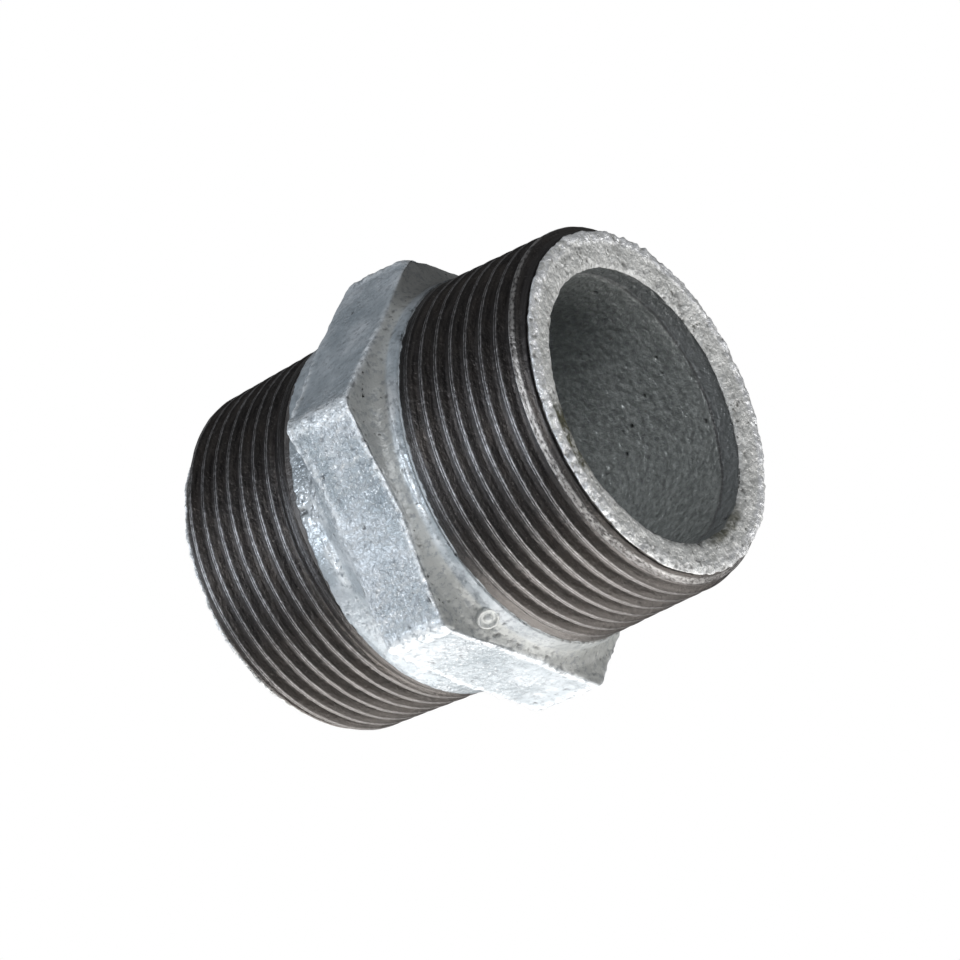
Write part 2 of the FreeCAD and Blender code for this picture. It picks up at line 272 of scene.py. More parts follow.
def new_piece(name, points, quads, nodes, material, values=None, normals=None):
    """A piece of the fitting from points in millimetres, riding on the one body."""
    mesh = bpy.data.meshes.new(name)
    mesh.from_pydata((points.reshape(-1, 3) * MM).tolist(), [], quads.tolist())
    mesh.validate()
    mesh.shade_smooth()
    for key, numbers in (values or {}).items():
        layer = mesh.attributes.new(key, "FLOAT", "POINT")
        layer.data.foreach_set("value", numbers.reshape(-1).astype(np.float32))
    if normals is not None:
        mesh.normals_split_custom_set_from_vertices(normals.reshape(-1, 3).tolist())
    piece = bpy.data.objects.new(name, mesh)
    bpy.context.scene.collection.objects.link(piece)
    mesh.materials.append(material)
    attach(piece, "root")
    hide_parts(*nodes)
    return piece


def tube_quads(rows, columns):
    """Faces of a grid that closes both ways."""
    row, column = np.meshgrid(np.arange(rows), np.arange(columns), indexing="ij")
    next_column = (column + 1) % columns
    next_row = (row + 1) % rows
    corners = [
        row * columns + column,
        row * columns + next_column,
        next_row * columns + next_column,
        next_row * columns + column,
    ]
    return np.stack(corners, axis=-1).reshape(-1, 4)


# The hexagon, its shoulders and the two necks are one surface, worked out together and then cut
# into the pieces, so that no seam shows.


def smooth_max(first, second, width):
    """The greater of two values, blended where they are closer than the width."""
    near = np.maximum(width - np.abs(first - second), 0) / width
    return np.maximum(first, second) + near * near * width / 4


def around(angles, numbers):
    """Numbers given at the edge azimuths, blended smoothly round the fitting."""
    degrees = np.degrees(angles)
    shifts = np.arange(-8, 9, 4)
    return sum(np.interp(degrees + d, EDGE_AZIMUTHS, numbers, period=360) for d in shifts) / 5


def bared(points, height, angles):
    """1 where the zinc has been cut away for the thread, with a ragged edge."""
    ends = np.where(height > MIDDLE, around(angles, UPPER_ZINC), around(angles, LOWER_ZINC))
    reach = np.abs(height - MIDDLE)
    ragged = reach + 0.13 * lumps(points, 1.5, 51, 2) + 0.13 * grain(points, 0.5, 55)
    return smoothstep(ends - 0.08, ends + 0.08, ragged)


def from_centre(height, angles):
    """Height above or below the uneven middle of the hexagon."""
    above = height - MIDDLE - around(angles, UPPER_EDGE)
    below = MIDDLE - height + around(angles, LOWER_EDGE)
    return np.where(height > MIDDLE, above, below)


def collar_sides(radius, height, angles):
    """How far a point is outside the flats and outside the shoulders, and from a flat's corner."""
    turn = (angles + math.radians(120)) % math.radians(60) - math.radians(30)
    inner = APOTHEM - CORNER_ROUND
    out = radius * np.cos(turn) - inner
    aside = np.abs(radius * np.sin(turn)) - inner * math.tan(math.radians(30))
    flat = np.where(aside > 0, np.hypot(out, np.maximum(aside, 0)), out) - CORNER_ROUND
    up = from_centre(height, angles)
    rise = math.tan(SHOULDER_SLOPE) * (CORNER_RADIUS - radius)
    cone = (up - EDGE_HALF - rise) * math.cos(SHOULDER_SLOPE)
    reach = np.maximum(np.abs(height - MIDDLE) - NECK_TAPER_START, 0)
    neck = radius - NECK_RADIUS + NECK_TAPER * reach
    inside = np.hypot(np.maximum(NECK_FILLET - cone, 0), np.maximum(NECK_FILLET - neck, 0))
    rounded = (cone < NECK_FILLET) & (neck < NECK_FILLET)
    shoulder = np.where(rounded, NECK_FILLET - inside, np.minimum(cone, neck))
    return flat, shoulder, aside


def collar_distance(radius, height, angles, edge):
    """How far a point is outside the as-cast middle of the fitting; edge rounds its edges."""
    flat, shoulder, _ = collar_sides(radius, height, angles)
    return smooth_max(flat, shoulder, edge)


def collar_outline(rows, columns):
    """Radii and heights of the as-cast surface, found by halving along slanted rays.

    Also the angles, and where the lower edge is extra soft.
    """
    centre, nearest, furthest, halvings = 17.0, 2.0, 22.0, 26
    lean = math.atan2(NECK_TOP, NECK_RADIUS - centre)
    slants = np.linspace(-lean, lean, rows)[:, None]
    slants, angles = np.broadcast_arrays(slants, turn_angles(columns))
    guess_radius, guess_half = 27, 6
    rough = ring_points(guess_radius + 0 * angles, MIDDLE + guess_half * np.sin(slants), angles)
    soft = peak(np.sin(angles), -1, 0.08) * (slants < 0)
    edge = 0.55 + 0.35 * grain(rough, 2.2, 11) + 1.8 * soft
    near, far = np.full(angles.shape, nearest), np.full(angles.shape, furthest)
    for _ in range(halvings):
        half = (near + far) / 2
        radius = centre + half * np.cos(slants)
        height = MIDDLE + half * np.sin(slants)
        outside = collar_distance(radius, height, angles, edge) > 0
        far = np.where(outside, half, far)
        near = np.where(outside, near, half)
    radius, height = centre + far * np.cos(slants), MIDDLE + far * np.sin(slants)
    return radius, height, angles, soft


def collar_features(points, radius, height, angles, soft):
    """Where the casting has each feature, from 0 to about 1, and which half each point is in."""
    flat, shoulder, aside = collar_sides(radius, height, angles)
    upper, lower = height > MIDDLE, height < MIDDLE
    up = from_centre(height, angles)
    onto_flat = flat - shoulder
    degrees, behind = degrees_from(angles, 0), degrees_from(angles, 180)
    on_flat = smoothstep(-0.25, 0.15, onto_flat)
    brow = peak(onto_flat, 0.3, 0.5) * (1 - 0.9 * soft) * (1 - 0.8 * peak(behind, *WORN_EDGE, 4))
    corner = peak(np.minimum(aside + 0.2, 0), 0, 0.6) * on_flat
    cut = bared(points, height, angles)
    dusty = peak(degrees, *DUSTY_NECK, 4) * upper
    bead = peak(up, 7.7, 0.5) * np.clip(0.5 + grain(points, 5, 57), 0, 1)
    # Painted highlights: a band on the upper fillet, and a streak and a strip on the lower neck,
    # painted light where the reflection falls.
    fillet_highlight = peak(degrees, *PAINTED_HIGHLIGHT_FILLET, 4) * peak(up, 7.5, 0.48)
    fillet_highlight = fillet_highlight * (0.9 + 0.7 * grain(points, 1.2, 59))
    streak = peak(up, 3.7, 0.55) * peak(degrees, *PAINTED_HIGHLIGHT_STREAK, 4)
    strip_highlight = peak(up, 7.6, 0.8) * peak(degrees, *PAINTED_HIGHLIGHT_STRIP, 4)
    crumbly = peak(onto_flat, -0.1, 0.45) * peak(degrees, *CRUMBLY_EDGE, 4)
    return {
        "upper": upper,
        "lower": lower,
        "on_flat": on_flat,
        "edges": np.maximum(brow, 0.7 * corner) * (radius > NECK_RADIUS + 0.7),
        "near_edge": peak(onto_flat, -0.6, 1.0),
        "cut": cut,
        "sleek": smoothstep(6.7, 7.4, up) * (1 - cut) * (1 - 0.75 * dusty),
        "bead": bead,
        "painted_highlight": np.maximum(fillet_highlight * upper, np.maximum(0.7 * streak, strip_highlight) * lower),
        "lumpy": np.clip(0.5 + 0.9 * grain(points, 8, 45), 0, 1),
        "scab": peak(angles, *SCAB) * lower * smoothstep(5.2, 6.2, up) * (1 - cut),
        # Painted shade: the upper shoulder behind the top corner is darkened.
        "painted_shoulder_shade": peak(behind, *PAINTED_SHADE_SHOULDER, 4) * upper * (1 - on_flat),
        "soiled": peak(degrees, *SOILED_SHOULDER, 4) * upper * (1 - on_flat),
        "crumbly": crumbly * upper,
        "blunt": peak(behind, *BLUNT_CORNER) * peak(onto_flat, 0, 1) * upper,
        "crinkled_glinting": peak(degrees, *CRINKLED_GLINTING_FLAT, 4) * on_flat,
        "smooth": peak(degrees, *SMOOTH_FLAT, 4),
    }


def collar_holes(points, at):
    """Depth of the pits in the zinc, 0 to 1."""
    holes = pits(points, 0.85, 41, 0.010)
    holes = np.maximum(holes, pits(points, 0.55, 43, 0.10) * at["near_edge"] * at["lumpy"])
    holes = np.maximum(holes, pits(points, 0.8, 49, 0.25) * at["scab"])
    holes = np.maximum(holes, pits(points, 0.75, 63, 0.07) * at["soiled"])
    holes = np.maximum(holes, pits(points, 0.8, 69, 0.25) * at["crumbly"])
    return holes * (1 - at["cut"])


def collar_crinkle(points, at):
    """How much fine folding the zinc's skin has; it also sets how many painted glints the flats
    show.
    """
    crinkle_and_glints = np.clip(0.25 + 0.8 * grain(points, 9, 46), 0.1, 0.8) + 0.6 * at["crinkled_glinting"]
    crinkle_and_glints = crinkle_and_glints * np.where(at["upper"], 0.25 + 0.75 * at["on_flat"], 1)
    crinkle_and_glints = crinkle_and_glints * (1 - 0.7 * at["smooth"])
    return np.maximum(crinkle_and_glints, 0.3 * np.minimum(at["painted_highlight"], 1))


def collar_surface(rows, columns):
    """The outer surface from the lower thread to the upper one, with its casting lumps."""
    radius, height, angles, soft = collar_outline(rows, columns)
    points = ring_points(radius, height, angles)
    normals = grid_normals(points)
    at = collar_features(points, radius, height, angles, soft)
    holes, cut, scab = collar_holes(points, at), at["cut"], at["scab"]
    shift = 0.12 * lumps(points, 9, 21, 2) + 0.05 * lumps(points, 1.5, 31, 3)
    shift = shift + at["edges"] * (0.20 * lumps(points, 0.9, 35, 2) + 0.10) + 0.12 * at["bead"]
    shift = shift - 0.8 * at["blunt"]
    shift = shift + scab * (0.1 + 0.3 * lumps(points, 1.3, 53, 2))
    calm = smoothstep(NECK_TOP - 1.0, NECK_TOP, np.abs(height - MIDDLE))
    shift = shift * (1 - 0.6 * calm) - 0.18 * holes
    points = points + normals * shift[..., None]
    points[..., :2] *= (1 - CUT_DEPTH * cut / radius)[..., None]
    points[..., 2] = np.clip(points[..., 2], MIDDLE - NECK_TOP, MIDDLE + NECK_TOP)
    crinkle_and_glints = collar_crinkle(points, at)
    # Raised zinc beads along the edges, painted bright: partly their own colour, partly a painted
    # highlight.
    beads_and_highlights = at["edges"] * (1.0 + 0.6 * grain(points, 0.9, 47))
    # Dark patches: pits, soiling, dirt on the scab, and painted shade on the shoulder behind the top
    # corner.
    dark_patches = [holes, 0.6 * at["painted_shoulder_shade"], 0.30 * at["soiled"], 0.3 * scab * at["lumpy"]]
    # The edge value paints the beads and the scab light, and carries the painted highlights of the
    # fillet and the lower neck.
    values = {
        "flat": np.maximum.reduce([at["on_flat"], at["sleek"], at["lower"]]),
        "sleek": at["sleek"],
        "edge": np.maximum.reduce([beads_and_highlights, 0.8 * scab, at["painted_highlight"]]),
        "darkening": np.maximum.reduce(dark_patches),
        "crinkle_and_glints": crinkle_and_glints,
        "cut": cut,
    }
    return points, values


def make_collar(material):
    """The hexagon and the two smooth necks beside it."""
    rows, columns = 206, 640
    points, values = collar_surface(rows, columns)
    normals = grid_normals(points)
    heights = points[:, :, 2].mean(axis=1) - MIDDLE
    low = int(np.searchsorted(heights, -COLLAR_HALF))
    high = int(np.searchsorted(heights, COLLAR_HALF))
    parts = [("lower_neck", 0, low + 1), ("hex_collar", low, high + 1), ("upper_neck", high, rows)]
    angles = turn_angles(columns)
    inward = -ring_points(1.0, 0.0, angles)
    for node, first, last in parts:
        part = points[first:last]
        rings = hidden_rings([(OUTER_BACK, part[row, :, 2]) for row in (-1, 0)], angles)
        own = {key: numbers[first:last] for key, numbers in values.items()}
        whole, kept = closed(part, rings, own)
        facing = np.concatenate([normals[first:last], inward, inward])
        quads = tube_quads(len(whole), columns)
        new_piece("cast_" + node, whole, quads, [node], material, kept, facing)


def thread_drop(away):
    """Depth below the worn crest, from a distance in pitches: rounded crest, flank, rounded root."""
    across = away * PITCH
    top = np.clip(across - CREST_FLAT, 0, CREST_ROUND * math.sin(FLANK_ANGLE))
    foot = np.clip(PITCH / 2 - across, 0, ROOT_ROUND * math.sin(FLANK_ANGLE))
    drop = CREST_ROUND - np.sqrt(CREST_ROUND**2 - top**2)
    rise = ROOT_ROUND - np.sqrt(ROOT_ROUND**2 - foot**2)
    crest_end = CREST_FLAT + CREST_ROUND * math.sin(FLANK_ANGLE)
    root_start = PITCH / 2 - ROOT_ROUND * math.sin(FLANK_ANGLE)
    slope = np.clip(across - crest_end, 0, root_start - crest_end) * math.tan(FLANK_ANGLE)
    root = np.where(across > root_start, ROOT_ROUND * (1 - math.cos(FLANK_ANGLE)) - rise, 0)
    return drop + slope + root


def thread_lines(foot, top, offset):
    """Heights of a helix's rows at azimuth 0, and how many there are to a turn.

    The steps are in 36ths of the pitch, closest together where the profile turns.
    """
    half = [0, 1.6, 2.7, 3.2, 3.8, 4.5, 5.3, 7, 9, 11, 12, 13, 14.1, 15.1, 16, 17, 18]
    steps = np.array(half + [36 - step for step in half[-2:0:-1]]) / 36
    first = math.floor((foot - PITCH - offset) / PITCH)
    last = math.ceil((top - offset) / PITCH)
    lines = offset + PITCH * (np.arange(first, last + 1)[:, None] + steps[None, :]).reshape(-1)
    return np.append(lines, offset + PITCH * (last + 1)), len(steps)


def make_thread(name, node, upper, seed, material):
    """A right-hand tapered thread, on a grid whose rows follow the helix."""
    columns = 374
    foot, top = (LENGTH - THREAD_ZONE, LENGTH - RIM_HEIGHT) if upper else (RIM_HEIGHT, THREAD_ZONE)
    offset = UPPER_CREST if upper else LOWER_CREST
    lines, per_turn = thread_lines(foot, top, offset)
    angles = turn_angles(columns)
    height = np.clip(lines[:, None] + PITCH * angles / (2 * math.pi), foot, top)
    height[0] = foot
    height[-1] = top
    phase = ((height - offset) / PITCH - angles / (2 * math.pi) + 0.5) % 1 - 0.5
    away = np.abs(phase)
    from_end = LENGTH - height if upper else height
    crest = GAUGE_RADIUS + (from_end - GAUGE_LENGTH) * TAPER
    lead_in = RIM_RADIUS + 0.1 + (from_end - RIM_HEIGHT)
    runout = smoothstep(THREAD_ZONE - 0.5, THREAD_ZONE - 3.0, from_end)
    depth = thread_drop(away) * runout
    rough = ring_points(crest, height, angles)
    flow = rough * np.array([0.35, 0.35, 1.6])
    # Painted highlight lines on the burrs beside each crest; they also raise the surface a little.
    burr_highlight_shape = np.maximum(peak(phase, *UPPER_BURR_HIGHLIGHT), 0.85 * peak(phase, *LOWER_BURR_HIGHLIGHT))
    burr_highlight = burr_highlight_shape * (0.2 + 0.8 * runout)
    dried = peak(np.degrees(angles), *DRIED_OIL, 4) + 0 * away
    on_crest = 1 - smoothstep(0.10, 0.16, away)
    radius = np.minimum(crest - depth + 0.03 * burr_highlight, lead_in) - 0.02
    radius = radius + on_crest * 0.03 * lumps(rough, 2.2, seed, 3)
    radius = radius + 0.022 * lumps(flow, 0.8, seed + 9, 2)
    values = {
        "crest": on_crest * (0.3 + 0.7 * runout) * (1 - 0.7 * dried),
        "burr_highlight": burr_highlight * (1 - 0.65 * dried),
        "dried": dried,
        "depth": depth,
        # Painted highlight on the first crest beside the end face.
        "end_crest_highlight": (1 - smoothstep(0.08, 0.17, away)) * (1 - smoothstep(1.9, 2.9, from_end)),
        "zinc": 1 - bared(rough, height, angles),
    }
    rings = hidden_rings([(OUTER_BACK, top), (OUTER_BACK, foot)], angles)
    whole, kept = closed(ring_points(radius, height, angles), rings, values)
    quads = thread_quads(len(lines), len(whole), columns, per_turn)
    piece = new_piece(name, whole, quads, [node], material, kept)
    weld(piece)


def thread_quads(rows, count, columns, per_turn):
    """Faces of the helical grid, then of the hidden inner rows that close it."""
    quads = []
    row, column = np.meshgrid(np.arange(rows - 1), np.arange(columns - 1), indexing="ij")
    here = row * columns + column
    quads.append(np.stack([here, here + 1, here + columns + 1, here + columns], -1).reshape(-1, 4))
    row = np.arange(rows - 1 - per_turn)
    here = row * columns + columns - 1
    side = (row + per_turn) * columns
    quads.append(np.stack([here, side, side + columns, here + columns], -1))
    for k in range(rows - 1, count):
        column = np.arange(columns)
        beside = (column + 1) % columns
        low, high = k * columns, ((k + 1) % count) * columns
        quads.append(np.stack([low + column, low + beside, high + beside, high + column], -1))
    return np.concatenate(quads)


def weld(piece):
    """Merges the points that ran together at the ends of a grid."""
    shape = bmesh.new()
    shape.from_mesh(piece.data)
    bmesh.ops.remove_doubles(shape, verts=shape.verts, dist=WELD_DISTANCE)
    bmesh.ops.recalc_face_normals(shape, faces=shape.faces)
    shape.to_mesh(piece.data)
    shape.free()
    piece.data.shade_smooth()


def lip_radius(angles):
    """The inner radius of the rim."""
    return LIP_RADIUS - LIP_OFFSET * np.cos(angles - LIP_AZIMUTH)


def resampled(outline, rows):
    """Evenly spaced points along an outline of (radius, height) corners, as two columns."""
    outline = np.array(outline)
    lengths = np.append(0, np.cumsum(np.hypot(*np.diff(outline, axis=0).T)))
    steps = np.linspace(0, lengths[-1], rows)
    return (np.interp(steps, lengths, outline[:, k])[:, None] for k in (0, 1))


def stained(angles, reach):
    """Where old cutting oil stains the rim, from the azimuth and the distance out from its lip."""
    near = np.abs(degrees_from(angles, WIDE_STAIN))
    far = np.abs(degrees_from(angles, NARROW_STAIN))
    wide = (1 - smoothstep(9, 16, near)) * (1 - smoothstep(2.2, 2.9, reach))
    narrow = (1 - smoothstep(8, 24, far)) * (1 - smoothstep(0.6, 1.3, reach))
    return np.maximum(wide, 0.8 * narrow)


def rim_outline(outer, inner):
    """The rim's (radius, height above the end face) corners, from outside to inside."""
    return [
        (outer - 1.0, -1.3),
        (outer - 0.3, -1.15),
        (outer - 0.04, -0.8),
        (outer + 0.05, -0.5),
        (outer - 0.12, -0.22),
        (outer - 0.45, -0.05),
        (outer - 0.9, 0.0),
        (inner + 1.7, 0.0),
        (inner + 1.1, -0.07),
        (inner + 0.6, -0.26),
        (inner + 0.25, -0.6),
        (inner + 0.05, -1.0),
        (inner, -1.3),
    ]


def make_rim(name, node, upper, seed, material):
    """The rough cast ring round a mouth, lumpy on its outer edge and pitted all over."""
    rows, columns = 56, 720
    angles = turn_angles(columns)
    outer, inner = RIM_RADIUS, MOUTH_RADIUS
    radius, height = resampled(rim_outline(outer, inner), rows)
    radius = radius + 0 * angles
    lip = 1 - smoothstep(inner + 0.3, inner + 1.5, radius)
    lip = lip * (1 - smoothstep(-0.5, -1.25, height))
    radius = radius + lip * (lip_radius(angles) - inner)
    base = ring_points(radius, LENGTH + height, angles)
    edge = smoothstep(outer - 1.9, outer - 1.1, radius + 0.25 * grain(base, 1.6, seed + 21))
    near_edges = np.clip(peak(radius, inner + 0.3, 0.5) + edge, 0, 1)
    crusty = peak(degrees_from(angles, 0), *CRUSTY_RIM, 4)
    brink = peak(radius, outer - 0.4, 0.45)
    holes = pits(base, 0.7, seed + 5, 0.04)
    holes = np.maximum(holes, pits(base, 0.75, seed + 6, 0.16) * near_edges)
    holes = np.maximum(holes, pits(base, 0.65, seed + 25, 0.30) * crusty * brink)
    below = smoothstep(-0.25, -0.5, height + 0.14 * grain(base, 1.3, seed + 11)) * edge
    inner_edge = 1 - smoothstep(inner + 0.2, inner + 1.1, radius)
    oily = stained(angles, radius - inner + 0.3 * grain(base, 1.4, seed + 27))
    shift = 0.08 * lumps(base, 1.5, seed, 3) + 0.10 * lumps(base, 6, seed + 3, 2)
    shift = shift + edge * (1 - below) * (0.15 + 0.20 * lumps(base, 1.1, seed + 7, 3))
    shift = shift + inner_edge * 0.10 * lumps(base, 1.3, seed + 15, 2)
    shift = shift - 0.18 * holes - 0.08 - 0.17 * below
    points = base + grid_normals(base) * shift[..., None]
    places = [(back, LENGTH - RIM_BACK) for back in (inner + 0.4, outer - 1.0)]
    values = {"darkening": holes, "edge": edge * (1 - 0.65 * crusty), "oily": oily, "cut": below}
    whole, kept = closed(points, hidden_rings(places, angles), values)
    if not upper:
        whole[..., 2] = LENGTH - whole[..., 2]
        whole = whole[::-1]
        kept = {key: numbers[::-1] for key, numbers in kept.items()}
    quads = tube_quads(len(whole), columns)
    new_piece(name, whole, quads, [node], material, kept)


def bore_heights():
    """Heights of the bore's rows from the top down, closer together at the edge of a recess."""
    inside = np.linspace(LENGTH - BORE_END, BORE_END, 206)
    step = np.array([-0.12, -0.04, 0.04, 0.12])
    heights = np.concatenate([inside, MOUTH_DEPTH + step, LENGTH - MOUTH_DEPTH + step])
    return np.sort(heights)[::-1][:, None]


def bore_distance(angles, heights, azimuth, height):
    """How far points on the bore wall are from the place at this azimuth and height."""
    return np.hypot(BORE_RADIUS * (angles - math.radians(azimuth)), heights - height)


def bore_holes(base, angles, heights):
    """Depth of the pits and the blowholes in the bore wall, 0 to 1."""
    holes = pits(base, 1.1, 79, 0.008)
    for azimuth, height, size in BLOWHOLES:
        away = bore_distance(angles, heights, azimuth, height)
        holes = np.maximum(holes, 1 - smoothstep(0.5 * size, 1.5 * size, away))
    return holes


def make_waterway(material):
    """The cored bore: a sandy cast surface, with a smoother shallow recess at each mouth."""
    columns = 450
    angles = turn_angles(columns)
    heights = bore_heights() + 0 * angles
    base = ring_points(BORE_RADIUS + 0 * heights, heights, angles)
    ragged = np.minimum(heights, LENGTH - heights) + 0.12 * lumps(base, 2.6, 61, 3)
    recess = 1 - smoothstep(MOUTH_DEPTH - 0.15, MOUTH_DEPTH + 0.15, ragged)
    # Painted shade along the recess's step, strongest near azimuth 75 degrees.
    painted_step_shade = peak(ragged, MOUTH_DEPTH, 0.16) * (0.45 + 0.55 * np.cos(angles - math.radians(75)))
    sand = 0.06 * lumps(base, 1.0, 71, 3) + 0.12 * lumps(base, 14, 75, 2)
    azimuth, height, size = BLISTER
    sand = sand - 0.12 * peak(bore_distance(angles, heights, azimuth, height), size, 0.28)
    holes = bore_holes(base, angles, heights)
    mouth = 0.26 + 0.1 * np.cos(angles - math.radians(85))
    radius = BORE_RADIUS + recess * mouth + sand * (1 - 0.6 * recess) + 0.3 * holes
    values = {
        "darkening": holes,
        "mouth": recess,
        # Painted shade: the wall is darkened from azimuth 105 degrees on, fully past 150.
        "painted_wall_shade": smoothstep(math.radians(105), math.radians(150), angles) + 0 * heights,
        "painted_step_shade": np.clip(painted_step_shade, 0, 1),
    }
    rings = hidden_rings([(BORE_BACK, BORE_END), (BORE_BACK, LENGTH - BORE_END)], angles)
    whole, kept = closed(ring_points(radius, heights, angles), rings, values)
    quads = tube_quads(len(whole), columns)
    new_piece("cast_bore", whole, quads, ["waterway_wall"], material, kept)


def make_mark(material):
    """A plain raised round mark on the upper shoulder, soft at its edge as cast."""
    low, high = span("casting_mark")
    middle = (low + high) / 2
    azimuth = math.atan2(middle[1], middle[0])
    foot_radius = NECK_RADIUS + NECK_FILLET - NECK_FILLET * math.cos(MARK_LEAN)
    foot_height = MIDDLE + FILLET_MIDDLE - NECK_FILLET * math.sin(MARK_LEAN)
    outward = Vector((math.cos(azimuth), math.sin(azimuth), 0))
    normal = outward * math.cos(MARK_LEAN) + Vector((0, 0, math.sin(MARK_LEAN)))
    foot = outward * foot_radius + Vector((0, 0, foot_height))
    turn = normal.to_track_quat("Z", "Y").to_matrix()
    outline = [
        (0, -0.9),
        (1.5, -0.9),
        (1.52, 0.0),
        (1.46, 0.22),
        (1.28, 0.34),
        (1.08, 0.30),
        (0.92, 0.14),
        (0.62, 0.10),
        (0.46, 0.24),
        (0.2, 0.32),
        (0, 0.33),
    ]
    rows, columns = 46, 72
    radius, height = resampled(outline, rows)
    angles = turn_angles(columns)
    points = ring_points(radius + 0 * angles, height + 0 * angles, angles)
    points[..., 2] += 0.04 * lumps(points, 0.9, 91, 2) * smoothstep(0, 0.2, height)
    placed = points.reshape(-1, 3) @ np.array(turn).T + np.array(foot)
    quads = tube_quads(rows, columns)[: (rows - 1) * columns]
    nodes = ["casting_mark"]
    piece = new_piece("raised_ring", placed, quads, nodes, material)
    weld(piece)


# ---------------------------------------------------------------- materials


class Recipe:
    """Builds one node material, with short names for the nodes it needs."""

    def __init__(self, name):
        self.material = bpy.data.materials.new(name)
        self.material.use_nodes = True
        self.tree = self.material.node_tree
        self.surface = self.tree.nodes["Principled BSDF"]
        self.place = self.tree.nodes.new("ShaderNodeTexCoord").outputs["Object"]

    def feed(self, socket, value):
        """Gives a socket another node's output, a colour or a number."""
        if isinstance(value, bpy.types.NodeSocket):
            self.tree.links.new(value, socket)
        elif hasattr(socket.default_value, "__len__") and not isinstance(value, (int, float)):
            socket.default_value = (*value, 1)[: len(socket.default_value)]
        else:
            socket.default_value = value

    def stretched(self, scale):
        """Places for a noise that is drawn out along the axes with a small scale."""
        node = self.tree.nodes.new("ShaderNodeMapping")
        self.feed(node.inputs["Vector"], self.place)
        node.inputs["Scale"].default_value = scale
        return node.outputs["Vector"]

    def noise(self, size_mm, detail, roughness, place=None, offset=0):
        """Noise with grains of this size; each offset gives another pattern."""
        node = self.tree.nodes.new("ShaderNodeTexNoise")
        node.noise_dimensions = "4D"
        self.feed(node.inputs["Vector"], place or self.place)
        node.inputs["W"].default_value = offset
        node.inputs["Scale"].default_value = 1 / (size_mm * MM)
        node.inputs["Detail"].default_value = detail
        node.inputs["Roughness"].default_value = roughness
        return node.outputs["Fac"]

    def ramp(self, value, *stops):
        """Turns a value into a colour or a share, by (position, colour or share) stops."""
        node = self.tree.nodes.new("ShaderNodeValToRGB")
        self.feed(node.inputs["Fac"], value)
        elements = node.color_ramp.elements
        while len(elements) < len(stops):
            elements.new(0.5)
        for element, (place, colour) in zip(elements, stops, strict=True):
            element.position = place
            shade = (colour,) * 3 if isinstance(colour, (int, float)) else colour
            element.color = (*shade, 1)
        return node.outputs["Color"]

    def mix(self, share, first, second):
        """The first colour with this share of the second. The numbers pick the colour sockets."""
        node = self.tree.nodes.new("ShaderNodeMix")
        node.data_type = "RGBA"
        self.feed(node.inputs["Factor"], share)
        self.feed(node.inputs[6], first)
        self.feed(node.inputs[7], second)
        return node.outputs[2]

    def maths(self, operation, first, second):
        """The outcome of a sum with two numbers."""
        node = self.tree.nodes.new("ShaderNodeMath")
        node.operation = operation
        self.feed(node.inputs[0], first)
        self.feed(node.inputs[1], second)
        return node.outputs[0]

    def times(self, first, second):
        """Two numbers multiplied."""
        return self.maths("MULTIPLY", first, second)

    def value(self, name):
        """A value stored on the piece's points."""
        node = self.tree.nodes.new("ShaderNodeAttribute")
        node.attribute_name = name
        return node.outputs["Fac"]

    def bump(self, height, depth_mm, under=None):
        """Fine relief, on top of the relief under it."""
        node = self.tree.nodes.new("ShaderNodeBump")
        self.feed(node.inputs["Height"], height)
        node.inputs["Distance"].default_value = depth_mm * MM
        node.inputs["Strength"].default_value = 1.0
        if under is not None:
            self.feed(node.inputs["Normal"], under)
        return node.outputs["Normal"]

    def finish(self, colour, metallic, roughness, normal):
        """The finished material."""
        self.feed(self.surface.inputs["Base Color"], colour)
        self.feed(self.surface.inputs["Metallic"], metallic)
        self.feed(self.surface.inputs["Roughness"], roughness)
        self.feed(self.surface.inputs["Normal"], normal)
        return self.material


# A cut surface beside zinc is streaked sideways, so its noise is drawn out along X and Y.
SIDEWAYS = (0.12, 0.12, 1.0)


def iron_shade(r, along):
    """Dark, oily, brownish iron with streaks along the cut, and the noise of those streaks."""
    streak = r.noise(0.24, 4, 0.65, place=along)
    patch = r.noise(5, 3, 0.6, offset=7)
    base = r.ramp(streak, (0.32, (0.032, 0.030, 0.031)), (0.70, (0.14, 0.132, 0.128)))
    base = r.mix(r.ramp(patch, (0.45, 0.0), (0.7, 0.45)), base, (0.16, 0.14, 0.125))
    specks = r.ramp(r.noise(0.34, 3, 0.65, offset=33), (0.57, 0.0), (0.67, 0.35))
    return r.mix(specks, base, (0.34, 0.32, 0.30)), streak


